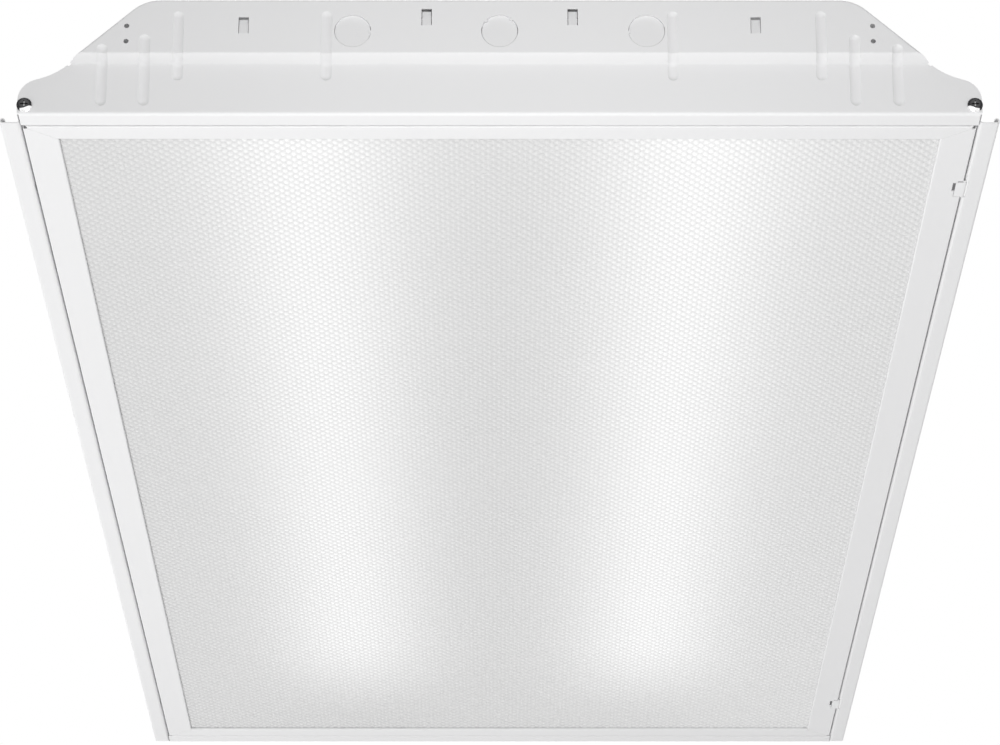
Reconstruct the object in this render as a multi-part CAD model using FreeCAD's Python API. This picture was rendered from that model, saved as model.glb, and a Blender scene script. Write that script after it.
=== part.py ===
import FreeCAD, Part
import math
import os

# Recessed lay-in troffer light for a 2 ft by 4 ft ceiling grid, drawn as it hangs.
# X runs across the light, Y along it (front end at -Y) and Z up into the ceiling void.
# The origin is the middle of the face plane. All sizes are in millimetres.

# ---------------------------------------------------------------- sheet and fits
steel = 0.7                    # housing and end plate sheet
door_steel = 0.6               # door rail sheet
cover_steel = 0.6              # ballast cover sheet
seam = 0.1                     # room between lapped sheets
touch_gap = 0.35               # room between a moving piece and its neighbour
pin_gap = 0.05                 # radial room of a pin that turns in a hole
seat_gap = 0.02                # radial room of a pin that is fixed in a hole

# ---------------------------------------------------------------- housing
face_width = 603.25            # over the side flanges
face_length = 1206.6           # over the lower end walls
body_depth = 75.6              # face plane to the top of the end plates
side_flange_width = 11.6       # side flange, outside edge to the upright wall
shoulder_height = 20.6         # corner of side wall and shoulder
shoulder_angle = 16.0          # rise of the shoulder, degrees
slope_angle = 42.7             # sloped side, degrees
shoulder_width = 22.2          # upright wall to the sharp corner of shoulder and slope
shoulder_radius = 14.0
sweep_radius = 44.0
top_radius = 24.0
flange_bend = 2.4              # outer bend between side flange and wall
curl_diameter = 3.4            # open curl along the side flange
front_flange_reach = 3.7       # side flange past the door opening at the front
rear_flange_reach = 12.4       # and at the rear

# ---------------------------------------------------------------- end plates
end_flange_width = 15.0        # flat end flange, wall to door opening
end_lip_height = 5.0
end_bend = 2.0
joggle_depth = 5.0             # upper wall stands out this far
joggle_start = 34.2
joggle_bend = 1.5
return_depth = 14.0            # edge folded over the housing
return_start = 39.8
return_edge_round = 1.5
relief_radius = 1.3
bead_width = 6.8               # pressed stiffening beads
bead_sink = 1.3
bead_from_wall = (50.0, 75.7, 95.7)
bead_from_middle = 104.7
bead_foot = 6.0                # lowest point of the outer beads
bead_below_joggle = 11.2       # the inner beads' reach below the joggle
bead_above_joggle = (6.0, 12.6)
bead_from_top = 8.0
knockout_radius = 11.1         # 7/8 in conduit knockouts
knockout_spacing = 88.9
knockout_from_top = 21.3
knockout_sink = 1.8            # upper edge of a disc pushed in this far
knockout_lean = 4.0            # degrees, as its lower edge stays near the face
knockout_gap = 0.3             # sheared gap round the disc's lower part
knockout_web_rise = 3.5        # the unbroken web starts this far above the disc's middle
knockout_ties = {-1: [-4.0], 0: [140.0, 48.0], 1: [184.0]}
tie_width = 1.8
window_width = 6.2             # lanced windows with an inward tab
window_height = 11.2
window_from_middle = (44.2, 154.9)
window_from_top = (6.3, 11.9)
tab_tilt = 12.0
tab_side_room = 0.4
hang_hole_radius = 1.6         # two small holes one above the other
hang_hole_past_top = 10.5       # outwards of the top's sharp corner
hang_hole_from_top = (18.0, 28.4)
corner_screw_from_wall = 4.3
corner_screw_height = 6.3
corner_screw_radius = 1.9
corner_screw_length = 9.0
screw_head_radius = 4.6
screw_head_height = 2.3
corner_lug_reach = 9.4
corner_lug_height = 10.2
corner_lug_room = 0.4          # above the end plate's bend

# ---------------------------------------------------------------- door
door_gap = 1.5                 # door end to the end flange
door_side_gap = 0.9            # door side to the upright wall
side_rail_width = 20.4
end_rail_width = 16.5
rail_height = 9.0
rail_bend = 1.0
lip_height = 2.6               # rail face to the lens seat
seat_width = 10.8              # lens seat inside the rail
mitre_gap = 0.18
corner_hole_radius = 1.5
gusset_leg = 34.0
gusset_width = 15.0
gusset_thickness = 0.9
gusset_room = 0.2
lens_thickness = 2.5
lens_edge_room = 1.4
clip_thickness = 0.4
clip_width = 12.0
clip_drop = 0.6                # clip below the rail's upturned edge
clip_reach = 13.0
clip_tip = 1.4                 # length of the bent-down tip
side_clip_spots = (-300.0, 0.0, 300.0)
end_clip_spots = (-160.0, 160.0)

# ---------------------------------------------------------------- hinge, left side
fitting_from_end = 86.0        # hinges and latches, from the door's end
hinge_inset = 6.6              # pin axis inside the door's edge
hinge_height = 3.6
hinge_pin_radius = 1.5
hinge_ring_radius = 2.6
hinge_arm_thickness = 1.6
hinge_arm_room = 1.8           # rail's upturned edge to the hinge arm
hinge_arm_height = 3.2
hinge_leg_width = 4.0
hinge_foot_length = 14.0
hinge_foot_height = 5.2
hinge_foot_thickness = 1.7
hinge_ear_thickness = 1.6
hinge_ear_radius = 2.2
hinge_ear_foot = 5.2
hinge_ear_foot_thickness = 0.8
hinge_notch_length = 8.0

# ---------------------------------------------------------------- cam latches, right side
latch_pivot_height = 1.6
latch_tab_length = 19.1
latch_tab_thickness = 0.8
latch_tab_reach = 5.4          # pivot to the tab's inner edge
latch_arm_width = 10.0
latch_finger_height = 8.0      # top of the finger above the face plane
latch_finger_reach = 2.9       # pivot to the finger's tip
latch_side_gap = 0.9           # door side to the latch pin's axis
latch_arm_inset = 0.3          # pivot to the arm's outer face
latch_pin_radius = 1.0
latch_ear_thickness = 1.2
latch_notch_room = 1.0         # curl to the notch's upper edge
keeper_gap = 0.3               # latch finger to the edge it hooks over
keeper_slot_room = 1.4         # above the latch finger
finger_slot_width = 1.6
latch_end_slot = 1.8           # open slot past the tab's end nearest the front
finger_slot_length = 11.4

# ---------------------------------------------------------------- lamps and sockets
lamp_offset = 120.0
lamp_drop = 22.4               # lamp axis below the top of the light
lamp_end_room = 8.6            # lamp base to the upper end wall
lamp_radius = 12.7             # T8
lamp_glass = 0.8
cap_wall = 0.25
cap_length = 13.0
cap_base = 2.0
cap_fit = 0.05
lamp_pin_radius = 1.15
lamp_pin_room = 0.2            # pin end to the bottom of the rotor's slot
lamp_pin_spacing = 12.7
socket_wall = 2.0
socket_back_room = 0.2         # socket back to the end plate
socket_face_gap = 0.3          # lamp base to the socket's face
socket_back_wall = 0.5
rotor_rim = 1.5                # rotor past the lamp pins
rotor_back_room = 0.15
rotor_back_wall = 0.4
rotor_slot_room = 0.3
entry_slot_room = 0.8
tongue_length = 10.0
tongue_width = 4.0
tongue_room = 0.2

# ---------------------------------------------------------------- ballast, cover and leads
ballast_length = 240.0
ballast_width = 42.0
ballast_height = 27.0
ballast_round = 2.0
foot_length = 14.0
foot_thickness = 1.5
ballast_screw_radius = 2.0
ballast_screw_head_radius = 4.0
ballast_screw_head_height = 2.6
cover_below_ballast = 4.9      # ballast to the underside of its cover
cover_beside_ballast = 21.0    # ballast side to the cover's lower edge
cover_spread = 12.0            # cover is this much wider at each side of its top
cover_flange = 12.0
cover_end_room = 3.6           # cover end to the end plate
lead_notch_length = 13.0
lead_notch_height = 12.0
keeper_spots = (-400.0, 400.0)
keeper_length = 16.0
keeper_thickness = 0.8
lead_radius = 1.2
lead_drops = (9.4, 5.9)        # leads below the housing's top sheet
lead_spread = 8.0              # leads from the middle of the ballast
lead_bend = 25.0
lead_cross_run = 6.4           # lead axis to the end plate

# ---------------------------------------------------------------- wiring access
access_centre = 260.0          # along Y
access_opening = (50.0, 90.0)
access_lap = 10.0
access_thickness = 0.8
access_screw_radius = 1.6
access_screw_head = 3.4
access_screw_height = 1.2
ground_screw_spot = (34.0, 200.0)
ground_screw_radius = 2.1
ground_head_across = 8.0
ground_head_height = 3.4

# ---------------------------------------------------------------- worked-out places
half_length = face_length / 2
upper_half = half_length + joggle_depth
wall_half_width = face_width / 2 - side_flange_width
shoulder_rise = shoulder_width * math.tan(math.radians(shoulder_angle))
top_half_width = (wall_half_width - shoulder_width
                  - (body_depth - shoulder_height - shoulder_rise) / math.tan(math.radians(slope_angle)))
joggle_end = joggle_start + joggle_depth
bead_radius = (bead_width ** 2 / 4 + bead_sink ** 2) / (2 * bead_sink)
opening_half_length = half_length - end_flange_width
front_flange_end = -opening_half_length - front_flange_reach
rear_flange_end = opening_half_length + rear_flange_reach
housing_half = upper_half - steel - seam
lower_half = half_length - steel - seam
housing_top_inset = steel + seam
housing_ceiling = body_depth - housing_top_inset - steel
housing_roof = body_depth - housing_top_inset
flange_half = face_width / 2
wall_inside = wall_half_width - steel
corner_screw_offset = wall_half_width - corner_screw_from_wall
door_half_width = wall_inside - door_side_gap
door_half_length = opening_half_length - door_gap
lens_half_width = door_half_width - side_rail_width + seat_width - lens_edge_room
lens_half_length = door_half_length - end_rail_width + seat_width - lens_edge_room
lens_top = lip_height + lens_thickness
fitting_spot = door_half_length - fitting_from_end
hinge_x = -(door_half_width - hinge_inset)
hinge_arm_underside = rail_height + hinge_arm_room
latch_x = door_half_width + latch_side_gap
latch_finger_bottom = latch_finger_height - latch_tab_thickness
cap_radius = lamp_radius + cap_fit + cap_wall
rotor_radius = lamp_pin_spacing / 2 + lamp_pin_radius + rotor_rim
rotor_slot = 2 * lamp_pin_radius + rotor_slot_room
entry_slot = rotor_slot + entry_slot_room
socket_half_width = rotor_radius + pin_gap + socket_wall
lamp_height = body_depth - lamp_drop
lamp_base = upper_half - lamp_end_room
socket_face = lamp_base + socket_face_gap
socket_back = upper_half - steel - socket_back_room
rotor_back = socket_back - socket_back_wall - rotor_back_room
slot_bottom = rotor_back - rotor_back_wall
ballast_bottom = housing_ceiling - ballast_height
cover_bottom = ballast_bottom - cover_below_ballast
cover_half_bottom = ballast_width / 2 + cover_beside_ballast
cover_half_top = cover_half_bottom + cover_spread


# ---------------------------------------------------------------- drawing helpers
def on_xz(point, y=0.0):
    return FreeCAD.Vector(point[0], y, point[1])


def on_yz(point, x=0.0):
    return FreeCAD.Vector(x, point[0], point[1])


def unit(start, end):
    length = math.hypot(end[0] - start[0], end[1] - start[1])
    return ((end[0] - start[0]) / length, (end[1] - start[1]) / length)


def right_turn(first, second):
    """Angle by which a path turns to the right, in radians."""
    cross = first[0] * second[1] - first[1] * second[0]
    dot = first[0] * second[0] + first[1] * second[1]
    return -math.atan2(cross, dot)


def shifted(points, distance):
    """The path moved to its right by a distance, with mitred corners."""
    heads = [unit(a, b) for a, b in zip(points, points[1:])]
    moved = []
    for index, point in enumerate(points):
        before = heads[max(index - 1, 0)]
        after = heads[min(index, len(heads) - 1)]
        normal = (before[1] + after[1], -before[0] - after[0])
        size = math.hypot(*normal)
        reach = distance / math.cos(right_turn(before, after) / 2)
        moved.append((point[0] + normal[0] / size * reach, point[1] + normal[1] / size * reach))
    return moved


def rounded_path(points, radii, place):
    """Edges of a path whose inner corners are rounded by tangent arcs."""
    edges = []
    pen = points[0]
    for index in range(1, len(points) - 1):
        corner, radius = points[index], radii[index - 1]
        before = unit(points[index - 1], corner)
        after = unit(corner, points[index + 1])
        turn = abs(right_turn(before, after))
        back = radius * math.tan(turn / 2)
        start = (corner[0] - before[0] * back, corner[1] - before[1] * back)
        end = (corner[0] + after[0] * back, corner[1] + after[1] * back)
        if math.dist(pen, start) > 1e-6:
            edges.append(Part.makeLine(place(pen), place(start)))
        if radius > 0:
            inward = unit(before, after)
            rise = radius / math.cos(turn / 2) - radius
            middle = (corner[0] + inward[0] * rise, corner[1] + inward[1] * rise)
            edges.append(Part.Arc(place(start), place(middle), place(end)).toShape())
        pen = end
    if math.dist(pen, points[-1]) > 1e-6:
        edges.append(Part.makeLine(place(pen), place(points[-1])))
    return edges


def strip(points, radii, thickness, place):
    """Face of a bent sheet: the path is one skin, the other lies to its right."""
    heads = [unit(a, b) for a, b in zip(points, points[1:])]
    turns = [right_turn(a, b) for a, b in zip(heads, heads[1:])]
    far_radii = [max(r - math.copysign(thickness, turn), 0) if r > 0 else 0
                 for r, turn in zip(radii, turns)]
    far = shifted(points, thickness)
    edges = rounded_path(points, radii, place)
    edges.append(Part.makeLine(place(points[-1]), place(far[-1])))
    edges += rounded_path(far[::-1], far_radii[::-1], place)
    edges.append(Part.makeLine(place(far[0]), place(points[0])))
    return Part.Face(Part.Wire(edges))


def along_y(face, start, end):
    moved = face.copy()
    moved.translate(FreeCAD.Vector(0, start, 0))
    return moved.extrude(FreeCAD.Vector(0, end - start, 0))


def along_x(face, start, end):
    moved = face.copy()
    moved.translate(FreeCAD.Vector(start, 0, 0))
    return moved.extrude(FreeCAD.Vector(end - start, 0, 0))


def block(x, y, z):
    """A box between pairs of limits."""
    return Part.makeBox(x[1] - x[0], y[1] - y[0], z[1] - z[0], FreeCAD.Vector(x[0], y[0], z[0]))


def rod_y(x, z, radius, start, end):
    return Part.makeCylinder(radius, end - start, FreeCAD.Vector(x, start, z), FreeCAD.Vector(0, 1, 0))


def rod_z(x, y, radius, start, end):
    return Part.makeCylinder(radius, end - start, FreeCAD.Vector(x, y, start))


def across(shape):
    """Mirror image on the other side of the light."""
    return shape.mirror(FreeCAD.Vector(0, 0, 0), FreeCAD.Vector(1, 0, 0))


def endwise(shape):
    """Mirror image at the other end of the light."""
    return shape.mirror(FreeCAD.Vector(0, 0, 0), FreeCAD.Vector(0, 1, 0))


def turned(shape):
    """The same piece at the other end, turned half round about Z."""
    other = shape.copy()
    other.rotate(FreeCAD.Vector(0, 0, 0), FreeCAD.Vector(0, 0, 1), 180)
    return other


# ---------------------------------------------------------------- outline of the body
def outline_corners(side_inset, slope_inset):
    """Right-hand corners of the cross-section, bottom to top, moved inwards."""
    rise = math.tan(math.radians(shoulder_angle))
    lean_x = math.sin(math.radians(slope_angle))
    lean_z = math.cos(math.radians(slope_angle))
    side = wall_half_width - side_inset
    base = (shoulder_height + wall_half_width * rise
            - side_inset / math.cos(math.radians(shoulder_angle)))
    shoulder = (side, base - side * rise)
    sweep_x = ((top_half_width * lean_x - slope_inset - (base - body_depth) * lean_z)
               / (lean_x - rise * lean_z))
    sweep = (sweep_x, base - sweep_x * rise)
    top = (top_half_width - slope_inset * (1 - lean_z) / lean_x, body_depth - slope_inset)
    return [shoulder, sweep, top]


def mirrored(points):
    return [(-x, z) for x, z in reversed(points)]


def outline_face(side_inset, slope_inset):
    """Closed cross-section of the body from the face plane up."""
    corners = outline_corners(side_inset, slope_inset)
    bottom = (corners[0][0], 0.0)
    points = [bottom] + corners + mirrored(corners) + [(-bottom[0], 0.0)]
    radii = [shoulder_radius - side_inset, sweep_radius + side_inset, top_radius - slope_inset]
    edges = rounded_path(points, radii + radii[::-1], on_xz)
    edges.append(Part.makeLine(on_xz(points[-1]), on_xz(points[0])))
    return Part.Face(Part.Wire(edges))


def inside_of_housing():
    inset = housing_top_inset + steel
    return along_y(outline_face(steel, inset), -lower_half, lower_half)


# ---------------------------------------------------------------- housing
def housing_pan():
    corners = outline_corners(steel, housing_top_inset + steel)
    curl = curl_diameter / 2
    right = [(flange_half - curl_diameter, curl), (flange_half - curl_diameter, curl_diameter),
             (flange_half, curl_diameter), (flange_half, 0.0), (wall_inside, 0.0)] + corners
    radii = [curl, curl, curl, flange_bend, shoulder_radius - steel, sweep_radius + steel,
             top_radius - housing_top_inset - steel]
    face = strip(right + mirrored(right), radii + radii[::-1], steel, on_xz)
    pan = along_y(face, -housing_half, housing_half)
    cuts = []
    for span in ((-upper_half, front_flange_end), (rear_flange_end, upper_half)):
        flange = block((wall_half_width, flange_half + 1), span, (-1, curl_diameter + 1))
        cuts += [flange, across(flange)]
    for span in ((-upper_half, -lower_half), (lower_half, upper_half)):
        cuts.append(block((-flange_half, flange_half), span, (-1, joggle_end + steel)))
    cuts += latch_openings() + tongue_slots()
    half_x, half_y = access_opening[0] / 2, access_opening[1] / 2
    cuts.append(block((-half_x, half_x), (access_centre - half_y, access_centre + half_y),
                      (housing_ceiling - 1, body_depth)))
    cuts.append(rod_z(*access_screw_spot(), access_screw_radius, housing_ceiling - 1, body_depth))
    cuts.append(rod_z(*ground_screw_spot, ground_screw_radius, housing_ceiling - 1, body_depth))
    for y in ballast_screw_spots():
        cuts.append(rod_z(0, y, ballast_screw_radius, housing_ceiling - 1, body_depth))
    pan = pan.cut(cuts)
    lugs = []
    for lug in (corner_lug(), endwise(corner_lug())):
        lugs += [lug, across(lug)]
    return pan.fuse(lugs).removeSplitter()


def corner_lug():
    """Tab folded in from the side wall, which the end plate's corner screw enters."""
    lug = block((wall_inside - corner_lug_reach, wall_inside + steel / 2),
                (lower_half - steel, lower_half), (end_bend + corner_lug_room, corner_lug_height))
    return lug.cut(rod_y(corner_screw_offset, corner_screw_height, corner_screw_radius,
                         lower_half - 2, lower_half + 2)).common(
        along_y(outline_face(steel / 2, housing_top_inset), 0, upper_half))


def latch_openings():
    """Notch for the latch's curl, and above it the slot that its finger hooks into."""
    half = latch_tab_length / 2 + touch_gap + latch_ear_thickness + touch_gap
    finger = latch_arm_width / 2 + touch_gap
    cuts = []
    for y in (-fitting_spot, fitting_spot):
        cuts.append(block((door_half_width, latch_x + latch_pivot_height + touch_gap + 0.1),
                          (y - half, y + half), (-1, 2 * latch_pivot_height + latch_notch_room)))
        cuts.append(block((wall_inside - 0.5, wall_half_width + 0.5), (y - finger, y + finger),
                          (latch_finger_bottom - keeper_gap, latch_finger_height + keeper_slot_room)))
    return cuts


def tongue_slots():
    """Slots in the top for the snap tongues of the lamp sockets."""
    middle = (socket_face + socket_back) / 2
    half_x = tongue_length / 2 + tongue_room
    half_y = tongue_width / 2 + tongue_room
    slots = []
    for x in (-lamp_offset, lamp_offset):
        for y in (-middle, middle):
            slots.append(block((x - half_x, x + half_x), (y - half_y, y + half_y),
                               (housing_ceiling - 1, body_depth + 1)))
    return slots


# ---------------------------------------------------------------- end plates
def end_plate():
    """Front end plate: flat end flange, joggled wall and an edge folded over the top."""
    wall = [(-opening_half_length, end_lip_height), (-opening_half_length, 0.0), (-half_length, 0.0),
            (-half_length, joggle_start), (-upper_half, joggle_end), (-upper_half, body_depth)]
    radii = [rail_bend, end_bend, joggle_bend, joggle_bend]
    sheet = along_x(strip(wall, radii, steel, on_yz), -wall_half_width, wall_half_width)
    top = outline_corners(0, 0)[2]
    drop = body_depth - return_start
    low = (top[0] + drop / math.tan(math.radians(slope_angle)), return_start)
    edge = strip([(-low[0], low[1]), (-top[0], top[1]), top, low], [top_radius, top_radius], steel, on_xz)
    plate = sheet.fuse(along_y(edge, -upper_half, -upper_half + return_depth))
    plate = plate.common(end_plate_limits()).removeSplitter()
    plate = with_beads(plate, wall)
    plate = with_knockouts(plate)
    cuts = []
    for side in (-1, 1):
        side_strip = sorted((side * (wall_inside - touch_gap), side * (wall_half_width + 1)))
        cuts.append(block(side_strip, (-lower_half, -opening_half_length + 1), (-1, end_lip_height + 1)))
        cuts.append(rod_y(side * corner_screw_offset, corner_screw_height, corner_screw_radius,
                          -upper_half, -lower_half + 1))
        notch_x = side * (top_half_width + (body_depth - joggle_start) / math.tan(math.radians(slope_angle)))
        cuts.append(rod_y(notch_x, joggle_start, relief_radius, -upper_half - 1, -lower_half + 1))
        for drop in hang_hole_from_top:
            cuts.append(rod_y(side * (top_half_width + hang_hole_past_top), body_depth - drop,
                              hang_hole_radius, -upper_half - 1, -upper_half + 2))
        for spot, top in windows():
            cuts.append(block((side * spot - window_width / 2, side * spot + window_width / 2),
                              (-upper_half - 1, -upper_half + 2), (top - window_height, top)))
    plate = plate.cut(cuts + tongue_slots())
    tabs = [window_tab(side * spot, top - window_height) for side in (-1, 1) for spot, top in windows()]
    return plate.fuse(tabs)


def windows():
    """Distance from the middle and upper edge of each lanced window."""
    return [(spot, body_depth - drop) for spot, drop in zip(window_from_middle, window_from_top)]


def bead_spots():
    """Distance from the middle, lowest and highest point of each bead."""
    xs = [wall_half_width - d for d in bead_from_wall] + [bead_from_middle]
    low = joggle_start - bead_below_joggle
    high = body_depth - bead_from_top
    tops = [joggle_end + rise for rise in bead_above_joggle]
    return list(zip(xs, [bead_foot, bead_foot, low, low], tops + [high, high]))


def end_plate_limits():
    """Body outline with the rim towards the end rounded."""
    body = along_y(outline_face(0, 0), -upper_half, -opening_half_length + 1)
    rim = [e for e in body.Edges if e.BoundBox.YMax < -upper_half + 0.01 and e.BoundBox.ZMax > 0.01]
    return body.makeFillet(return_edge_round, rim)


def bead_line(x, low, high, radius):
    """Round bar that follows the wall's outside from a low to a high point."""
    out = bead_radius - bead_sink
    points = shifted([(-half_length, low + bead_width / 2), (-half_length, joggle_start),
                      (-upper_half, joggle_end), (-upper_half, high - bead_width / 2)], -out)
    pieces = []
    for start, end in zip(points, points[1:]):
        a, b = on_yz(start, x), on_yz(end, x)
        pieces.append(Part.makeCylinder(radius, (b - a).Length, a, b - a))
    pieces += [Part.makeSphere(radius, on_yz(p, x)) for p in points]
    return pieces[0].fuse(pieces[1:])


def with_beads(plate, wall):
    """Beads pressed into the sheet, each a groove outside and a ridge inside."""
    far = -upper_half - 20
    before_wall = Part.Face(Part.Wire(
        rounded_path(wall[2:], [joggle_bend, joggle_bend], on_yz)
        + [Part.makeLine(on_yz(wall[-1]), on_yz((far, body_depth))),
           Part.makeLine(on_yz((far, body_depth)), on_yz((far, 0.0))),
           Part.makeLine(on_yz((far, 0.0)), on_yz(wall[2]))]))
    outside = along_x(before_wall, -wall_half_width, wall_half_width)
    ridges, grooves = [], []
    for x, low, high in bead_spots():
        for side in (-1, 1):
            ridges.append(bead_line(side * x, low, high, bead_radius + steel).cut(outside))
            grooves.append(bead_line(side * x, low, high, bead_radius))
    return plate.fuse(ridges).cut(grooves)


def with_knockouts(plate):
    """Conduit knockouts: discs pushed in, held by a drawn web above and a short tie below."""
    holes, discs, ties = [], [], []
    web_radius = knockout_radius + steel
    knockout_height = body_depth - knockout_from_top
    for step, angles in knockout_ties.items():
        x = step * knockout_spacing
        holes.append(rod_y(x, knockout_height, knockout_radius, -upper_half - 1, -upper_half + steel + 1))
        disc = rod_y(x, knockout_height, knockout_radius - knockout_gap,
                     -upper_half + knockout_sink, -upper_half + steel + knockout_sink)
        disc.rotate(FreeCAD.Vector(x, -upper_half + knockout_sink, knockout_height + knockout_radius),
                    FreeCAD.Vector(1, 0, 0), -knockout_lean)
        discs.append(disc)
        web = rod_y(x, knockout_height, web_radius, -upper_half, -upper_half + steel + knockout_sink).cut(
            rod_y(x, knockout_height, knockout_radius, -upper_half - 1, -upper_half + knockout_sink))
        discs.append(web.common(block((x - web_radius, x + web_radius), (-upper_half - 1, -upper_half + 9),
                                      (knockout_height + knockout_web_rise, knockout_height + 99))))
        for angle in angles:
            tie = block((knockout_radius - 1.2, knockout_radius + 0.4),
                        (-upper_half, -upper_half + steel + knockout_sink),
                        (-tie_width / 2, tie_width / 2))
            tie.rotate(FreeCAD.Vector(0, 0, 0), FreeCAD.Vector(0, -1, 0), angle)
            tie.translate(FreeCAD.Vector(x, 0, knockout_height))
            ties.append(tie)
    return plate.cut(holes).fuse(discs + ties)


def window_tab(x, bottom):
    """Tab of a lanced window, leaning inwards from its bottom edge."""
    half = window_width / 2 - tab_side_room
    tab = block((x - half, x + half), (-upper_half, -upper_half + steel),
                (bottom - steel / 2, bottom + window_height - 0.6))
    tab.rotate(FreeCAD.Vector(x, -upper_half, bottom), FreeCAD.Vector(1, 0, 0), -tab_tilt)
    inside = block((x - half, x + half), (-upper_half, -upper_half + 10), (bottom - steel, body_depth))
    return tab.common(inside)


def corner_screws():
    """Pan-head cross-recess screws that hold the end plates to the housing."""
    head = Part.makeSphere(8.0, FreeCAD.Vector(0, 8.0 - screw_head_height, 0)).common(
        rod_y(0, 0, screw_head_radius, -screw_head_height, 0))
    shank = rod_y(0, 0, corner_screw_radius - pin_gap, -0.2, corner_screw_length)
    bars = [block((-2.4, 2.4), (-screw_head_height - 1, -screw_head_height + 1.3), (-0.45, 0.45)),
            block((-0.45, 0.45), (-screw_head_height - 1, -screw_head_height + 1.3), (-2.4, 2.4))]
    screw = head.fuse(shank).cut(bars)
    screws = []
    for side in (-1, 1):
        front = screw.copy()
        front.translate(FreeCAD.Vector(side * corner_screw_offset, -half_length, corner_screw_height))
        screws += [front, endwise(front)]
    return screws


# ---------------------------------------------------------------- door
def rail_section(half, width, place):
    """Rail cross-section from its upturned outer wall to the lens seat."""
    inner = half - width
    points = [(half, rail_height), (half, 0.0), (inner, 0.0), (inner, lip_height),
              (inner + seat_width, lip_height)]
    return strip(points, [rail_bend, door_steel * 1.5, door_steel * 1.5], door_steel, place)


def corner_wedge(keep_side, past):
    """Plan of one rail near a corner, cut on the line between outer and inner corner."""
    outer = (door_half_width, door_half_length)
    inner = (door_half_width - side_rail_width, door_half_length - end_rail_width)
    head = unit(inner, outer)
    sign = 1 if keep_side else -1
    off = (sign * head[1] * mitre_gap / 2, -sign * head[0] * mitre_gap / 2)
    start = (inner[0] - head[0] * past + off[0], inner[1] - head[1] * past + off[1])
    end = (outer[0] + head[0] * past + off[0], outer[1] + head[1] * past + off[1])
    third = (end[0], start[1]) if keep_side else (start[0], end[1])
    points = [FreeCAD.Vector(p[0], p[1], -1) for p in (start, end, third)]
    face = Part.Face(Part.makePolygon(points + points[:1]))
    return face.extrude(FreeCAD.Vector(0, 0, rail_height + 2))


def corner_relief():
    """Round notch that takes the tip off the door's corner."""
    x = door_half_width - corner_hole_radius
    y = door_half_length - corner_hole_radius
    return rod_z(x, y, corner_hole_radius, -1, rail_height + 1).fuse(
        block((x, x + corner_hole_radius + 1), (y, y + corner_hole_radius + 1), (-1, rail_height + 1)))


def side_rail():
    """Right-hand rail before its hinge or latch cuts."""
    rail = along_y(rail_section(door_half_width, side_rail_width, on_xz), -door_half_length, door_half_length)
    past = 30.0
    body = block((0, door_half_width + 1), (-door_half_length + past, door_half_length - past),
                 (-1, rail_height + 1))
    wedge = corner_wedge(True, past)
    ends = [rail.common(piece) for piece in (body, wedge, endwise(wedge))]
    return ends[0].fuse(ends[1:]).cut([corner_relief(), endwise(corner_relief())]).removeSplitter()


def end_rail():
    """Rear rail of the door."""
    rail = along_x(rail_section(door_half_length, end_rail_width, on_yz), -door_half_width, door_half_width)
    past = 30.0
    body = block((-door_half_width + past, door_half_width - past), (0, door_half_length + 1),
                 (-1, rail_height + 1))
    wedge = corner_wedge(False, past)
    ends = [rail.common(piece) for piece in (body, wedge, across(wedge))]
    return ends[0].fuse(ends[1:]).cut([corner_relief(), across(corner_relief())]).removeSplitter()


def hinge_rail():
    """Left rail: its outer wall is notched where the hinge arms reach in."""
    edge = -door_half_width
    notches = []
    for y in (-fitting_spot, fitting_spot):
        notches.append(block((edge - 1, edge + rail_bend + touch_gap),
                             (y - hinge_notch_length / 2, y + hinge_notch_length / 2),
                             (door_steel, rail_height + 1)))
    return across(side_rail()).cut(notches)


def latch_rail():
    """Right rail: notched for the latch tabs, with ears that carry the latch pins."""
    rail = side_rail()
    inner = latch_x - latch_tab_reach - touch_gap
    half = latch_tab_length / 2 + touch_gap
    ears = []
    holes = []
    for y in (-fitting_spot, fitting_spot):
        rail = rail.cut([
            block((inner, door_half_width + 1), (y - half, y + half), (-1, rail_height + 1)),
            block((inner - finger_slot_width, inner + 0.1),
                  (y - half + 0.7, y - half + 0.7 + finger_slot_length), (-1, door_steel + 1)),
            block((inner + 1.2, door_half_width - door_steel),
                  (y - half - latch_end_slot, y - half + 0.1), (-1, door_steel + 1))])
        for side in (-1, 1):
            span = sorted((y + side * half, y + side * (half + latch_ear_thickness)))
            ears.append(rod_y(latch_x, latch_pivot_height, latch_pivot_height, *span).fuse(
                block((door_half_width - door_steel, latch_x), span, (0.5, 2 * latch_pivot_height))))
            holes.append(rod_y(latch_x, latch_pivot_height, latch_pin_radius + seat_gap, *span))
    return rail.fuse(ears).cut(holes)


def corner_gussets():
    """Flat corner plates that join the rails inside the mitres."""
    x = door_half_width - rail_bend - gusset_room
    y = door_half_length - rail_bend - gusset_room
    top = door_steel + gusset_thickness
    plate = block((x - gusset_leg, x), (y - gusset_width, y), (door_steel, top)).fuse(
        block((x - gusset_width, x), (y - gusset_leg, y), (door_steel, top)))
    side_leg = block((door_half_width - side_rail_width + door_steel + gusset_room, x),
                     (y - gusset_leg, y), (door_steel, top))
    end_leg = block((x - gusset_leg, x), (door_half_length - end_rail_width + door_steel + gusset_room, y),
                    (door_steel, top))
    plate = plate.common(side_leg.fuse(end_leg)).cut(corner_relief()).removeSplitter()
    return [plate, across(plate), endwise(plate), across(endwise(plate))]


def lens():
    """Prismatic acrylic sheet."""
    return block((-lens_half_width, lens_half_width), (-lens_half_length, lens_half_length),
                 (lip_height, lens_top))


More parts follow.
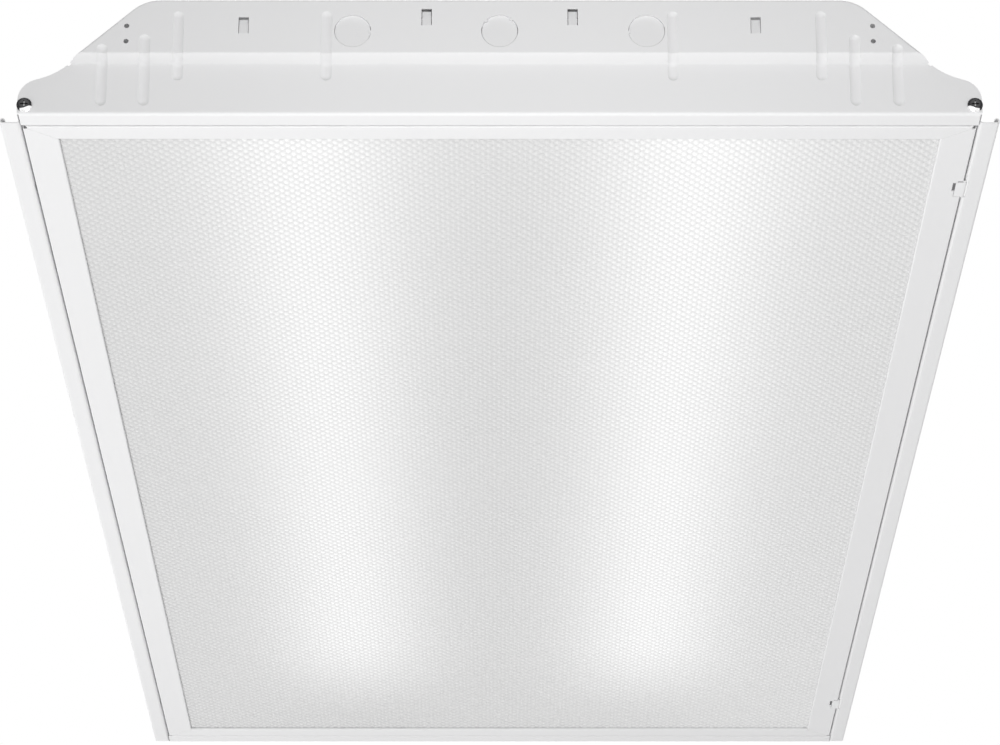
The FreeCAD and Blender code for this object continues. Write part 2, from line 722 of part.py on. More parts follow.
def lens_clips():
    """Spring clips on the rails' outer walls that press on the lens."""
    def bent(half, place):
        back = half - door_steel
        top = rail_height - clip_drop
        points = [(back - clip_reach - clip_tip, lens_top + clip_thickness / 2), (back - clip_reach, top),
                  (back, top), (back, door_steel + 0.4)]
        return strip(points, [0.8, 0.8], clip_thickness, place)
    clips = []
    for y in side_clip_spots:
        clip = along_y(bent(door_half_width, on_xz), y - clip_width / 2, y + clip_width / 2)
        clips += [clip, across(clip)]
    for x in end_clip_spots:
        clip = along_x(bent(door_half_length, on_yz), x - clip_width / 2, x + clip_width / 2)
        clips += [clip, endwise(clip)]
    return clips


# ---------------------------------------------------------------- hinges
def hinge_brackets():
    """Arms welded inside the left wall, each with a ring round a hinge pin."""
    room = inside_of_housing()
    brackets = []
    for y in (-fitting_spot, fitting_spot):
        half = hinge_arm_thickness / 2
        top = hinge_arm_underside + hinge_arm_height
        leg = (hinge_x - hinge_leg_width / 2, hinge_x + hinge_leg_width / 2)
        arm = block((-wall_half_width, leg[1]), (y - half, y + half), (hinge_arm_underside, top))
        arm = arm.fuse([
            block(leg, (y - half, y + half), (hinge_height, top)),
            rod_y(hinge_x, hinge_height, hinge_ring_radius, y - half, y + half),
            block((-wall_half_width, -wall_inside + hinge_foot_thickness),
                  (y - hinge_foot_length / 2, y + hinge_foot_length / 2),
                  (hinge_arm_underside, hinge_arm_underside + hinge_foot_height))])
        arm = arm.cut(rod_y(hinge_x, hinge_height, hinge_pin_radius + pin_gap, y - 5, y + 5))
        brackets.append(arm.common(room).removeSplitter())
    return brackets


def hinge_knuckles():
    """Pairs of ears on the left rail that hold the hinge pins."""
    knuckles = []
    start = hinge_arm_thickness / 2 + touch_gap
    for y in (-fitting_spot, fitting_spot):
        for side in (-1, 1):
            ear_span = sorted((y + side * start, y + side * (start + hinge_ear_thickness)))
            foot_span = sorted((y + side * start, y + side * (start + hinge_ear_thickness + hinge_ear_foot)))
            ear = rod_y(hinge_x, hinge_height, hinge_ear_radius, *ear_span).fuse([
                block((hinge_x - hinge_ear_radius, hinge_x + hinge_ear_radius), ear_span,
                      (door_steel, hinge_height)),
                block((hinge_x - hinge_ear_radius - 0.8, hinge_x + hinge_ear_radius), foot_span,
                      (door_steel, door_steel + hinge_ear_foot_thickness))])
            hole = rod_y(hinge_x, hinge_height, hinge_pin_radius + seat_gap, *ear_span)
            knuckles.append(ear.cut(hole).removeSplitter())
    return knuckles


def hinge_pins():
    reach = hinge_arm_thickness / 2 + touch_gap + hinge_ear_thickness
    return [rod_y(hinge_x, hinge_height, hinge_pin_radius, y - reach, y + reach)
            for y in (-fitting_spot, fitting_spot)]


# ---------------------------------------------------------------- latches
def cam_latch(y):
    """Finger tab curled round its pin, with an arm whose finger hooks over the keeper."""
    half = latch_tab_length / 2
    arm_half = latch_arm_width / 2
    arm_x = (latch_x - latch_arm_inset - latch_tab_thickness, latch_x - latch_arm_inset)
    finger = (latch_finger_bottom, latch_finger_height)
    piece = rod_y(latch_x, latch_pivot_height, latch_pivot_height, y - half, y + half).fuse([
        block((latch_x - latch_tab_reach, latch_x), (y - half, y + half), (0, latch_tab_thickness)),
        block(arm_x, (y - arm_half, y + arm_half), (latch_pivot_height, latch_finger_height)),
        block((arm_x[0], latch_x + latch_finger_reach), (y - arm_half, y + arm_half), finger)])
    return piece.cut(rod_y(latch_x, latch_pivot_height, latch_pin_radius + pin_gap,
                           y - half - 1, y + half + 1)).removeSplitter()


def latch_pins():
    reach = latch_tab_length / 2 + touch_gap + latch_ear_thickness
    return [rod_y(latch_x, latch_pivot_height, latch_pin_radius, y - reach, y + reach)
            for y in (-fitting_spot, fitting_spot)]


# ---------------------------------------------------------------- lamps and sockets
def lamp_tube(x):
    reach = lamp_base - cap_base
    return rod_y(x, lamp_height, lamp_radius, -reach, reach).cut(
        rod_y(x, lamp_height, lamp_radius - lamp_glass, -reach - 1, reach + 1))


def lamp_caps(x):
    cap = rod_y(x, lamp_height, cap_radius, lamp_base - cap_length, lamp_base).cut(
        rod_y(x, lamp_height, lamp_radius + cap_fit, lamp_base - cap_length - 1, lamp_base - cap_base))
    return [cap, endwise(cap)]


def lamp_pins(x):
    pins = []
    for side in (-1, 1):
        pin = rod_y(x + side * lamp_pin_spacing / 2, lamp_height, lamp_pin_radius,
                    lamp_base, slot_bottom - lamp_pin_room)
        pins += [pin, endwise(pin)]
    return pins


def socket_rotors(x):
    """Slotted discs in the sockets that turn with the lamp's pins."""
    rotor = rod_y(x, lamp_height, rotor_radius, socket_face + 0.1, rotor_back).cut(
        block((x - rotor_radius, x + rotor_radius), (socket_face - 1, slot_bottom),
              (lamp_height - rotor_slot / 2, lamp_height + rotor_slot / 2)))
    return [rotor, endwise(rotor)]


def lamp_sockets():
    """Rear pair of sockets, each hung from the top by a snap tongue."""
    sockets = []
    middle = (socket_face + socket_back) / 2
    for x in (-lamp_offset, lamp_offset):
        body = rod_y(x, lamp_height, socket_half_width, socket_face, socket_back).fuse([
            block((x - socket_half_width, x + socket_half_width), (socket_face, socket_back),
                  (lamp_height, housing_ceiling)),
            block((x - tongue_length / 2, x + tongue_length / 2),
                  (middle - tongue_width / 2, middle + tongue_width / 2), (lamp_height, body_depth))])
        sockets.append(body.cut([
            rod_y(x, lamp_height, rotor_radius + pin_gap, socket_face - 1, socket_back - socket_back_wall),
            block((x - entry_slot / 2, x + entry_slot / 2), (socket_face - 1, socket_back - socket_back_wall),
                  (0, lamp_height))]).removeSplitter())
    return sockets


# ---------------------------------------------------------------- ballast, cover and leads
def ballast_screw_spots():
    reach = ballast_length / 2 + foot_length / 2
    return (-reach, reach)


def ballast():
    half = ballast_length / 2
    case = block((-ballast_width / 2, ballast_width / 2), (-half, half),
                 (ballast_bottom, housing_ceiling))
    case = case.makeFillet(ballast_round, [e for e in case.Edges if e.BoundBox.ZMax < housing_ceiling - 1])
    foot = block((-ballast_width / 2, ballast_width / 2), (-half - foot_length, half + foot_length),
                 (housing_ceiling - foot_thickness, housing_ceiling))
    holes = [rod_z(0, y, ballast_screw_radius + 0.2, housing_ceiling - 5, housing_ceiling + 1)
             for y in ballast_screw_spots()]
    return case.fuse(foot).cut(holes).removeSplitter()


def hex_head(x, y, across_flats, top, height):
    radius = across_flats / math.sqrt(3)
    points = [FreeCAD.Vector(x + radius * math.cos(math.radians(60 * k)),
                             y + radius * math.sin(math.radians(60 * k)), top - height) for k in range(7)]
    return Part.Face(Part.makePolygon(points)).extrude(FreeCAD.Vector(0, 0, height))


def ballast_screws():
    under = housing_ceiling - foot_thickness
    return [hex_head(0, y, ballast_screw_head_radius * 2, under, ballast_screw_head_height).fuse(
        rod_z(0, y, ballast_screw_radius, under - 0.1, housing_roof)) for y in ballast_screw_spots()]


def ground_screw():
    return hex_head(*ground_screw_spot, ground_head_across, housing_ceiling, ground_head_height).fuse(
        rod_z(*ground_screw_spot, ground_screw_radius, housing_ceiling - 0.1, housing_roof))


def ballast_cover():
    """Channel that closes the wireway between the lamps."""
    flange = housing_ceiling - cover_steel
    right = [(cover_half_top + cover_flange, flange), (cover_half_top, flange),
             (cover_half_bottom, cover_bottom)]
    reach = upper_half - steel - cover_end_room
    radii = [0.0, 1.5]
    cover = along_y(strip(right + mirrored(right), radii + radii[::-1], cover_steel, on_xz), -reach, reach)
    notch = block((-cover_half_top - 1, cover_half_top + 1), (reach - lead_notch_length, reach + 1),
                  (flange - lead_notch_height, flange))
    return cover.cut([notch, endwise(notch)])


def cover_keepers():
    """Hooks welded to the top that the cover's flanges snap over."""
    edge = cover_half_top + cover_flange
    keepers = []
    for y in keeper_spots:
        span = (y - keeper_length / 2, y + keeper_length / 2)
        base = block((edge + 0.3, edge + 10), span, (housing_ceiling - keeper_thickness, housing_ceiling))
        hook = block((edge - 4, edge + 10), span,
                     (housing_ceiling - 2 * keeper_thickness, housing_ceiling - keeper_thickness))
        keeper = base.fuse(hook).removeSplitter()
        keepers += [keeper, across(keeper)]
    return keepers


def socket_leads():
    """Leads from the ballast's rear end along the wireway to the rear sockets."""
    leads = []
    cross_y = upper_half - steel - lead_cross_run
    for side in (-1, 1):
        for z in [housing_ceiling - drop for drop in lead_drops]:
            points = [(side * lead_spread, ballast_length / 2), (side * lead_spread, cross_y),
                      (side * (lamp_offset - socket_half_width), cross_y)]
            path = Part.Wire(rounded_path(points, [lead_bend], lambda p: FreeCAD.Vector(p[0], p[1], z)))
            start = FreeCAD.Vector(points[0][0], points[0][1], z)
            ring = Part.Wire(Part.makeCircle(lead_radius, start, FreeCAD.Vector(0, 1, 0)))
            leads.append(path.makePipeShell([ring], True, False))
    return leads


# ---------------------------------------------------------------- wiring access
def access_screw_spot():
    return (0.0, access_centre + access_opening[1] / 2 + access_lap / 2)


def access_plate():
    half_x = access_opening[0] / 2 + access_lap
    half_y = access_opening[1] / 2 + access_lap
    plate = block((-half_x, half_x), (access_centre - half_y, access_centre + half_y),
                  (housing_roof, housing_roof + access_thickness))
    plate = plate.makeFillet(3.0, [e for e in plate.Edges if e.BoundBox.ZLength > access_thickness / 2])
    return plate.cut(rod_z(*access_screw_spot(), access_screw_radius, housing_roof - 1, body_depth + 1))


def access_screw():
    top = housing_roof + access_thickness
    return rod_z(*access_screw_spot(), access_screw_head, top, top + access_screw_height).fuse(
        rod_z(*access_screw_spot(), access_screw_radius, housing_ceiling - 4, top + 0.1))


# ---------------------------------------------------------------- write every piece
def all_pieces():
    front_plate = end_plate()
    rear_leads = socket_leads()
    rear_sockets = lamp_sockets()
    pieces = {
        "housing_pan": [housing_pan()],
        "end_plate_front": [front_plate],
        "end_plate_rear": [turned(front_plate)],
        "end_plate_screws": corner_screws(),
        "access_plate": [access_plate()],
        "access_plate_screw": [access_screw()],
        "ground_screw": [ground_screw()],
        "ballast": [ballast()],
        "ballast_screws": ballast_screws(),
        "ballast_cover": [ballast_cover()],
        "cover_keepers": cover_keepers(),
        "socket_leads_rear": rear_leads,
        "socket_leads_front": [endwise(lead) for lead in rear_leads],
        "lamp_sockets_rear": rear_sockets,
        "lamp_sockets_front": [endwise(socket) for socket in rear_sockets],
        "hinge_brackets": hinge_brackets(),
        "hinge_knuckles": hinge_knuckles(),
        "hinge_pins": hinge_pins(),
        "door_side_rail_left": [hinge_rail()],
        "door_side_rail_right": [latch_rail()],
        "door_end_rail_rear": [end_rail()],
        "door_end_rail_front": [endwise(end_rail())],
        "door_corner_gussets": corner_gussets(),
        "lens": [lens()],
        "lens_clips": lens_clips(),
        "latch_pins": latch_pins(),
        "cam_latch_front": [cam_latch(-fitting_spot)],
        "cam_latch_rear": [cam_latch(fitting_spot)],
    }
    for side, x in (("left", -lamp_offset), ("right", lamp_offset)):
        pieces["lamp_tube_" + side] = [lamp_tube(x)]
        pieces["lamp_caps_" + side] = lamp_caps(x)
        pieces["lamp_pins_" + side] = lamp_pins(x)
        pieces["socket_rotors_" + side] = socket_rotors(x)
    return pieces


os.makedirs("parts", exist_ok=True)
for name, shapes in all_pieces().items():
    solids = [solid for shape in shapes for solid in shape.Solids]
    piece = solids[0] if len(solids) == 1 else Part.makeCompound(solids)
    piece.exportStep("parts/" + name + ".step")
    box = piece.BoundBox
    print("%-22s solids %2d of %2d  valid %s  volume %10.1f  x %7.1f %7.1f  y %7.1f %7.1f  z %5.1f %5.1f" % (
        name, len(solids), len(shapes), piece.isValid(), piece.Volume,
        box.XMin, box.XMax, box.YMin, box.YMax, box.ZMin, box.ZMax))
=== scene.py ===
import math

import bpy
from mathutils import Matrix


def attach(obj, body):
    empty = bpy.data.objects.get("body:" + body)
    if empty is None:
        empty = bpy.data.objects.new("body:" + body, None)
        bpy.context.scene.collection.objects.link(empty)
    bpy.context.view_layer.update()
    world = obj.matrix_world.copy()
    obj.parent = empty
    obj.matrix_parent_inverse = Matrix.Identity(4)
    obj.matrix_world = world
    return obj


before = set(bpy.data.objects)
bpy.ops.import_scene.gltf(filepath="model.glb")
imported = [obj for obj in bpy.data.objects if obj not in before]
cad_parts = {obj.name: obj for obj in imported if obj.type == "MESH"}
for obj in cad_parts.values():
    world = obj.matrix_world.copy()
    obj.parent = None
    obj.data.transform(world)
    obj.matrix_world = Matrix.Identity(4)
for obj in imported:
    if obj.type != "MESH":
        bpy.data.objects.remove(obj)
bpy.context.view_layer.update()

MM = 0.001

# ---------------------------------------------------------------- sizes, millimetres
LENS_OPENING_X = 268.0         # half the clear width inside the door rails
LENS_OPENING_Y = 570.3         # half the clear length
PRISM_PITCH_X = 6.48
PRISM_PITCH_Y = 7.85
PRISM_DEPTH = 0.6
PRISM_TOP = 2.58               # just under the lens sheet
PRISM_MARGIN = 0.3             # prisms stop this far from the rails
PRISM_WELD = 0.02              # prism corners nearer than this become one
LAMP_X = 120.0                 # lamps, each side of the middle
PAINTED_GLOW_SPREAD = 65.0               # how far the glow painted on the lens spreads to each side of a lamp
TUBE_END = 597.7               # end of a lamp, from the middle
SCREW_X = 285.7                # centre of a corner screw, from the middle
SCREW_Z = 6.3                  # and above the face plane
REFLECTION_EDGE_CENTRE = (1.6, 4.3)       # centre of its dark plating, outward and up from the screw's; a reflection is painted outside this circle
REFLECTION_EDGE_REACH = 6.75              # radius of the dark plating, where the painted reflection begins
PAINTED_GLINT_HEIGHTS = (-0.35, 1.7)    # painted glints in its recess, up from the screw's centre

# ---------------------------------------------------------------- stage, metres and degrees
FLOOR_DROP = 2.4               # from the face plane to the floor
FLOOR_HALF = 6.0
SKY_BELOW = 1.0                # strength of the surroundings as a lamp, from below to above
SKY_LEVEL = 0.8
SKY_ABOVE = 0.15
SOFT_BOXES = (                 # name, watts, size, place, point aimed at
    ("front_box", 2.4, 0.3, (0.03, -1.25, -0.29), (0.03, -0.6, 0.03)),
    ("low_box", 31.5, 1.4, (-0.85, -0.1, -2.0), (0.0, 0.1, 0.0)),
    ("sky_box", 24.0, 2.0, (0.0, 0.9, 2.2), (0.0, 0.3, 0.0)),
)
CAMERA_PLACE = (-0.0005, -2.7414, -1.0936)
CAMERA_TILT = 113.393
CAMERA_TURN = -0.019
CAMERA_LENS = 143.73           # millimetres, on a sensor 36 mm wide
CAMERA_SENSOR = 36.0
CAMERA_REACH = 60.0


# ---------------------------------------------------------------- shader maths
class Wire:
    """One output of a shader node. Sums on it add Math nodes to the same tree."""

    def __init__(self, tree, socket):
        self.tree = tree
        self.socket = socket

    def node(self, kind, inputs, output=0, **settings):
        """Adds a node, sets it up, feeds its sockets and gives one of its outputs."""
        made = self.tree.nodes.new(kind)
        for name, value in settings.items():
            setattr(made, name, value)
        for spot, value in inputs.items():
            if isinstance(value, Wire):
                self.tree.links.new(value.socket, made.inputs[spot])
            else:
                made.inputs[spot].default_value = value
        return Wire(self.tree, made.outputs[output])

    def maths(self, operation, *terms):
        return self.node("ShaderNodeMath", dict(enumerate(terms)), operation=operation)

    def __add__(self, other):
        return self.maths("ADD", self, other)

    def __radd__(self, other):
        return self.maths("ADD", other, self)

    def __sub__(self, other):
        return self.maths("SUBTRACT", self, other)

    def __rsub__(self, other):
        return self.maths("SUBTRACT", other, self)

    def __mul__(self, other):
        return self.maths("MULTIPLY", self, other)

    def __rmul__(self, other):
        return self.maths("MULTIPLY", other, self)

    def __truediv__(self, other):
        return self.maths("DIVIDE", self, other)

    def __pow__(self, other):
        return self.maths("POWER", self, other)

    def __rpow__(self, other):
        return self.maths("POWER", other, self)

    def __abs__(self):
        return self.maths("ABSOLUTE", self)

    def cosine(self):
        return self.maths("COSINE", self)

    def sine(self):
        return self.maths("SINE", self)

    def at_least(self, other):
        """The larger of the two."""
        return self.maths("MAXIMUM", self, other)

    def axis(self, name):
        return self.node("ShaderNodeSeparateXYZ", {0: self}, output=name)

    def ramp(self, low, high):
        """0 below the low value, 1 above the high one, smooth between."""
        return self.node("ShaderNodeMapRange", {0: self, 1: low, 2: high, 3: 0.0, 4: 1.0},
                         interpolation_type="SMOOTHSTEP")

    def noise(self, scale, detail=2.0):
        return self.node("ShaderNodeTexNoise", {"Vector": self, "Scale": scale, "Detail": detail})

    def stretched(self, x, y, z):
        return self.node("ShaderNodeMapping", {"Vector": self, "Scale": (x, y, z)})

    def between(self, low, high):
        """Colour between two, by this share."""
        return self.node("ShaderNodeMix", {0: self, 6: (*low, 1.0), 7: (*high, 1.0)},
                         output=2, data_type="RGBA")

    def bump(self, height):
        """Normal of a relief that is this many metres high."""
        return self.node("ShaderNodeBump", {"Height": self, "Distance": height})


def material(name, look, **plain):
    """Principled material: plain values on its sockets, then what look gives for a place."""
    made = bpy.data.materials.new(name)
    made.use_nodes = True
    tree = made.node_tree
    shader = tree.nodes["Principled BSDF"]
    for socket, value in plain.items():
        shader.inputs[socket.replace("_", " ")].default_value = value
    coordinates = tree.nodes.new("ShaderNodeTexCoord")
    for socket, value in look(Wire(tree, coordinates.outputs["Object"])).items():
        tree.links.new(value.socket, shader.inputs[socket])
    return made


# ---------------------------------------------------------------- finishes
def baked_enamel(low, high):
    """Sprayed and baked enamel: faint drift of tone, orange peel, uneven gloss."""
    def look(place):
        drift = place.noise(7.0, 3.0)
        peel = place.noise(700.0)
        return {"Base Color": drift.between(low, high),
                "Roughness": 0.4 + 0.1 * place.noise(30.0),
                "Normal": peel.bump(0.00004)}
    return look


def plated(low, high, gloss, grain):
    """Plated or drawn metal: drawn lines along Y, cloudy tone and gloss."""
    def look(place):
        cloud = place.noise(120.0, 3.0)
        lines = place.stretched(1.0, 0.06, 1.0).noise(grain)
        return {"Base Color": cloud.between(low, high),
                "Roughness": gloss + 0.14 * lines,
                "Normal": lines.bump(0.00003)}
    return look


def dark_plating_painted_reflection(place):
    """Dark plating on the corner screws, with a painted reflection along the lower rim, painted
    glints in the recess and a painted sheen over the middle of the head.
    """
    outward = abs(place.axis("X")) - SCREW_X * MM
    up = place.axis("Z") - SCREW_Z * MM
    # painted reflection: light plating outside the dark circle, kept to the lower part of the head
    # and off its outer side
    painted_reflection = distance(outward, up, *REFLECTION_EDGE_CENTRE).ramp(REFLECTION_EDGE_REACH * MM, (REFLECTION_EDGE_REACH + 0.4) * MM)
    painted_reflection = painted_reflection * (1 - outward.ramp(2.1 * MM, 2.9 * MM)) * (1 - up.ramp(-1.4 * MM, -0.6 * MM))
    # painted glints in the recess
    for height in PAINTED_GLINT_HEIGHTS:
        painted_glint = 1 - distance(outward, up, 0.0, height).ramp(0.3 * MM, 0.7 * MM)
        painted_reflection = painted_reflection.at_least(0.5 * painted_glint)
    # painted sheen: the middle of the head a little lighter than its rim
    crown_sheen = 1 - distance(outward, up, 0.0, 0.4).ramp(2.4 * MM, 3.6 * MM)
    cloud = place.noise(900.0)
    # random cloud of tone plus the painted reflection, glints and sheen
    tone = painted_reflection.at_least(0.05 * crown_sheen + 0.03 * cloud)
    return {"Base Color": tone.between((0.02, 0.02, 0.022), (0.98, 0.98, 0.98)),
            "Roughness": 0.12 + 0.1 * cloud,
            "Normal": cloud.bump(0.00002)}


def distance(outward, up, centre_outward, centre_up):
    """Distance in a screw's own face from a point of it given in millimetres."""
    sideways = outward - centre_outward * MM
    rise = up - centre_up * MM
    return (sideways * sideways + rise * rise) ** 0.5


def moulded(low, high, gloss):
    """Moulded plastic: faint flow marks and a fine spark-eroded skin."""
    def look(place):
        flow = place.stretched(1.0, 0.3, 1.0).noise(45.0)
        skin = place.noise(1600.0, 1.0)
        return {"Base Color": flow.between(low, high),
                "Roughness": gloss + 0.1 * flow,
                "Normal": skin.bump(0.00002)}
    return look


def phosphor_glass(place):
    """Coated tube, lit: even glow that darkens over the last stretch at each end."""
    from_end = TUBE_END * MM - abs(place.axis("Y"))
    grain = place.noise(260.0)
    glow = 0.94 * from_end.ramp(12.0 * MM, 55.0 * MM) + 0.06 * grain
    return {"Base Color": grain.between((0.86, 0.87, 0.88), (0.9, 0.9, 0.91)),
            "Emission Color": glow.between((0.42, 0.38, 0.33), (0.95, 0.96, 1.0))}


def acrylic_painted_glow(place):
    """Prismatic sheet with the glow of the two lamps behind it painted into its emission.

    The painted glow is a band under each lamp and fades over the rear end. A painted highlight
    on each prism and an even painted light change a little from side to side and front to rear.
    """
    x, y = place.axis("X"), place.axis("Y")
    # painted glow: a band of emission under each lamp
    left = (x + LAMP_X * MM) / (PAINTED_GLOW_SPREAD * MM)
    right = (x - LAMP_X * MM) / (PAINTED_GLOW_SPREAD * MM)
    glow = math.e ** (-1 * left * left) + math.e ** (-1 * right * right)
    # the painted glow fades over the rear end
    reach = 1 - y.ramp(0.34, 0.55)
    spot = painted_prism_highlight(x, y)
    leftward = 1 - x.ramp(-0.25, 0.0)
    # painted highlight on each prism, stronger to the sides, at the left and towards the rear
    painted_sparkle = 0.052 + 0.014 * abs(x).ramp(0.03, 0.22) + 0.016 * leftward + 0.026 * y.ramp(-0.4, 0.5)
    # painted light over the whole lens, darker at the left, lighter at the right and towards the
    # rear
    fill = 0.02 - 0.018 * leftward + 0.012 * y.ramp(-0.2, 0.6) + 0.065 * x.ramp(-0.1, 0.3)
    # all of this emission is painted light
    light = glow * reach * (0.148 + 0.12 * spot) + painted_sparkle * spot + fill
    return {"Base Color": place.noise(12.0).between((0.63, 0.63, 0.63), (0.65, 0.65, 0.65)),
            "Roughness": 0.22 + 0.1 * place.noise(60.0),
            "Emission Color": light.between((0.0, 0.0, 0.0), (1.0, 1.0, 1.0))}


def painted_prism_highlight(x, y):
    """Painted highlight in the middle of each prism, 0 along their seams."""
    across = (math.pi / (PRISM_PITCH_X * MM)) * x
    along = (math.pi / (PRISM_PITCH_Y * MM)) * y
    first = across.cosine() ** 2 * abs(along.cosine())
    second = across.sine() ** 2 * abs(along.sine())
    return first.at_least(second).ramp(0.25, 1.0)


FINISHES = {
    "white_enamel": material(
        "white_enamel", baked_enamel((0.82, 0.82, 0.825), (0.84, 0.84, 0.845)),
        Specular_IOR_Level=0.25),
    "latch_white": material(
        "latch_white", baked_enamel((0.84, 0.84, 0.845), (0.87, 0.87, 0.875)),
        Specular_IOR_Level=0.25),
    "green_screw": material(
        "green_screw", baked_enamel((0.05, 0.3, 0.12), (0.08, 0.38, 0.16))),
    "ballast_black": material(
        "ballast_black", baked_enamel((0.012, 0.012, 0.014), (0.025, 0.025, 0.027))),
    "dark_screw": material("dark_screw", dark_plating_painted_reflection, Metallic=1.0),
    "zinc_steel": material(
        "zinc_steel", plated((0.55, 0.56, 0.58), (0.68, 0.67, 0.64), 0.28, 500.0), Metallic=1.0),
    "spring_steel": material(
        "spring_steel", plated((0.48, 0.48, 0.5), (0.58, 0.58, 0.6), 0.22, 800.0), Metallic=1.0),
    "cap_aluminium": material(
        "cap_aluminium", plated((0.7, 0.7, 0.72), (0.8, 0.8, 0.81), 0.25, 600.0), Metallic=1.0),
    "brass_pin": material(
        "brass_pin", plated((0.66, 0.5, 0.24), (0.78, 0.62, 0.34), 0.2, 900.0), Metallic=1.0),
    "lead_insulation": material(
        "lead_insulation", moulded((0.68, 0.68, 0.66), (0.76, 0.76, 0.74), 0.38)),
    "socket_plastic": material(
        "socket_plastic", moulded((0.84, 0.84, 0.82), (0.9, 0.9, 0.88), 0.3)),
    "rotor_plastic": material(
        "rotor_plastic", moulded((0.76, 0.76, 0.74), (0.83, 0.83, 0.81), 0.3)),
    "lamp_glass": material("lamp_glass", phosphor_glass, Roughness=0.12, Emission_Strength=0.35),
    # the lens's glow is painted into its emission
    "acrylic": material("acrylic", acrylic_painted_glow, IOR=1.49, Emission_Strength=1.0),
}


def dress_nodes():
    """Gives each carried-over piece the finish that its record slot names."""
    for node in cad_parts.values():
        for slot in node.material_slots:
            name = slot.material.name.split(".")[0]
            slot.material = FINISHES[name]


# ---------------------------------------------------------------- lens prisms
def start_edit(piece):
    bpy.context.view_layer.objects.active = piece
    piece.select_set(True)
    bpy.ops.object.mode_set(mode="EDIT")
    bpy.ops.mesh.select_all(action="SELECT")


def end_edit():
    bpy.ops.object.mode_set(mode="OBJECT")


def repeat(piece, count, step):
    """Row of copies, joined into the piece's own mesh."""
    row = piece.modifiers.new("row", "ARRAY")
    row.use_relative_offset = False
    row.use_constant_offset = True
    row.constant_offset_displace = step
    row.count = count
    bpy.ops.object.modifier_apply(modifier=row.name)


def lens_prisms():
    """Four-sided prisms under the lens sheet, in staggered rows."""
    bpy.ops.object.select_all(action="DESELECT")
    columns = 2 * math.ceil(LENS_OPENING_X / PRISM_PITCH_X) + 1
    rows = 2 * math.ceil(LENS_OPENING_Y / PRISM_PITCH_Y) + 1
    corner = (-(columns - 1) / 2 * PRISM_PITCH_X * MM, -(rows - 1) / 2 * PRISM_PITCH_Y * MM)
    bpy.ops.mesh.primitive_cone_add(vertices=4, radius1=0.0, radius2=0.5,
                                    depth=PRISM_DEPTH * MM, end_fill_type="NOTHING",
                                    location=(*corner, (PRISM_TOP - PRISM_DEPTH / 2) * MM))
    prisms = bpy.context.active_object
    prisms.name = "lens_prisms"
    bpy.ops.object.transform_apply(location=True, rotation=True, scale=True)
    start_edit(prisms)
    bpy.ops.transform.resize(value=(PRISM_PITCH_X * MM, PRISM_PITCH_Y * MM, 1.0),
                             center_override=(*corner, 0.0))
    bpy.ops.mesh.duplicate_move(TRANSFORM_OT_translate={
        "value": (PRISM_PITCH_X / 2 * MM, PRISM_PITCH_Y / 2 * MM, 0.0)})
    end_edit()
    repeat(prisms, columns, (PRISM_PITCH_X * MM, 0.0, 0.0))
    repeat(prisms, rows, (0.0, PRISM_PITCH_Y * MM, 0.0))
    start_edit(prisms)
    bpy.ops.mesh.remove_doubles(threshold=PRISM_WELD * MM)
    for side in (-1, 1):
        for axis, reach in ((0, LENS_OPENING_X), (1, LENS_OPENING_Y)):
            edge = [0.0, 0.0, 0.0]
            out = [0.0, 0.0, 0.0]
            edge[axis] = side * (reach - PRISM_MARGIN) * MM
            out[axis] = side
            bpy.ops.mesh.select_all(action="SELECT")
            bpy.ops.mesh.bisect(plane_co=edge, plane_no=out, clear_outer=True)
    end_edit()
    prisms.data.materials.append(FINISHES["acrylic"])
    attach(prisms, "door")


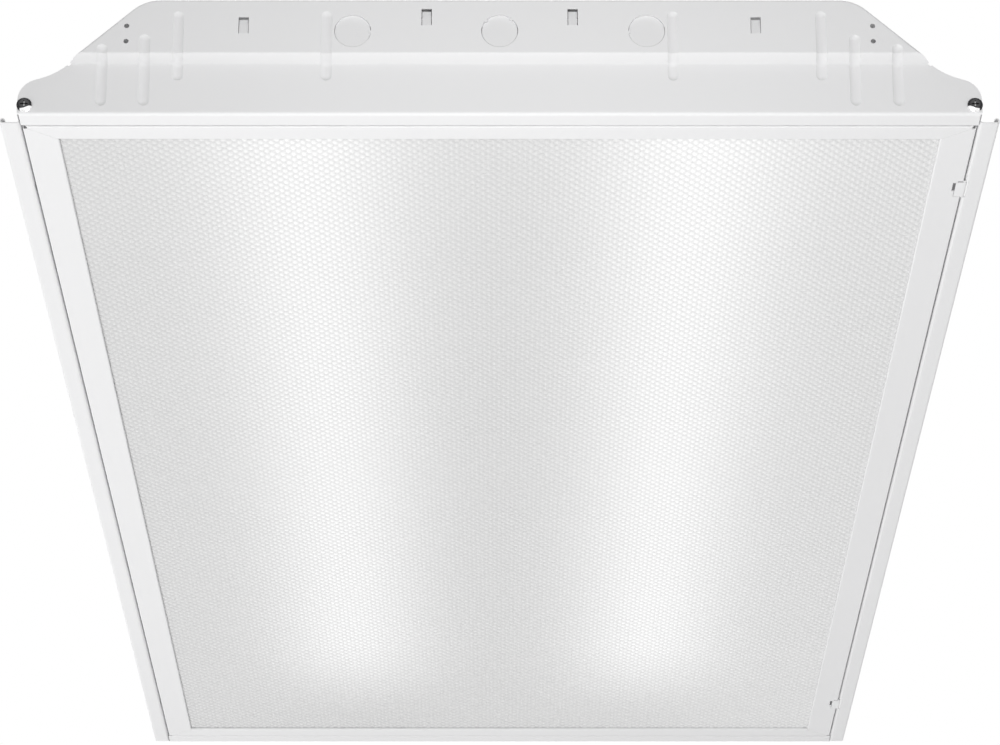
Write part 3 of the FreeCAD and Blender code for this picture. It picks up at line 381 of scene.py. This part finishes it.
# ---------------------------------------------------------------- floor, light and camera
def pale_floor():
    """Pale floor that fades out at its rim and from below."""
    bpy.ops.object.select_all(action="DESELECT")
    bpy.ops.mesh.primitive_grid_add(x_subdivisions=8, y_subdivisions=8, size=2 * FLOOR_HALF,
                                    location=(0.0, 0.0, -FLOOR_DROP))
    floor = bpy.context.active_object
    floor.name = "floor"
    made = bpy.data.materials.new("pale_floor")
    made.use_nodes = True
    tree = made.node_tree
    shader = tree.nodes["Principled BSDF"]
    shader.inputs["Base Color"].default_value = (0.9, 0.9, 0.9, 1.0)
    shader.inputs["Roughness"].default_value = 0.9
    place = Wire(tree, tree.nodes.new("ShaderNodeTexCoord").outputs["Object"])
    away = place.node("ShaderNodeVectorMath", {0: place}, output="Value", operation="LENGTH")
    under = place.node("ShaderNodeNewGeometry", {}, output="Backfacing")
    hidden = under.at_least(away.ramp(0.6 * FLOOR_HALF, 0.95 * FLOOR_HALF))
    clear = place.node("ShaderNodeBsdfTransparent", {})
    solid = Wire(tree, shader.outputs[0])
    mixed = place.node("ShaderNodeMixShader", {0: hidden, 1: solid, 2: clear})
    tree.links.new(mixed.socket, tree.nodes["Material Output"].inputs["Surface"])
    floor.data.materials.append(made)


def studio_world(below, level, above):
    """White wherever it is looked at, mirrored or seen through; as a lamp it dims upwards."""
    world = bpy.data.worlds.new("studio")
    bpy.context.scene.world = world
    world.use_nodes = True
    tree = world.node_tree
    back = tree.nodes["Background"]
    path = tree.nodes.new("ShaderNodeLightPath")
    camera, glossy, through = (Wire(tree, path.outputs[name]) for name in
                               ("Is Camera Ray", "Is Glossy Ray", "Is Transmission Ray"))
    seen = camera.at_least(glossy).at_least(through)
    rise = Wire(tree, tree.nodes.new("ShaderNodeTexCoord").outputs["Generated"]).axis("Z")
    lamp = below + (level - below) * rise.ramp(-0.7, 0.0) + (above - level) * rise.ramp(0.0, 0.55)
    strength = lamp + (1.0 - lamp) * seen
    back.inputs["Color"].default_value = (1.0, 1.0, 1.0, 1.0)
    tree.links.new(strength.socket, back.inputs["Strength"])


def soft_lamp(name, power, size, spot, target):
    """Square soft box aimed at a point, itself unseen."""
    data = bpy.data.lights.new(name, "AREA")
    data.energy = power
    data.size = size
    lamp = bpy.data.objects.new(name, data)
    bpy.context.collection.objects.link(lamp)
    lamp.location = spot
    aim = [t - s for t, s in zip(target, spot)]
    flat = math.hypot(aim[0], aim[1])
    lamp.rotation_euler = (math.pi / 2 + math.atan2(aim[2], flat), 0.0, math.atan2(-aim[0], aim[1]))
    lamp.visible_camera = False


def view_camera():
    data = bpy.data.cameras.new("view")
    data.lens = CAMERA_LENS
    data.sensor_width = CAMERA_SENSOR
    data.clip_end = CAMERA_REACH
    camera = bpy.data.objects.new("view", data)
    bpy.context.collection.objects.link(camera)
    camera.location = CAMERA_PLACE
    camera.rotation_euler = (math.radians(CAMERA_TILT), 0.0, math.radians(CAMERA_TURN))
    bpy.context.scene.camera = camera


dress_nodes()
lens_prisms()
pale_floor()
studio_world(SKY_BELOW, SKY_LEVEL, SKY_ABOVE)
for box in SOFT_BOXES:
    soft_lamp(*box)
view_camera()
bpy.context.scene.view_settings.view_transform = "Standard"
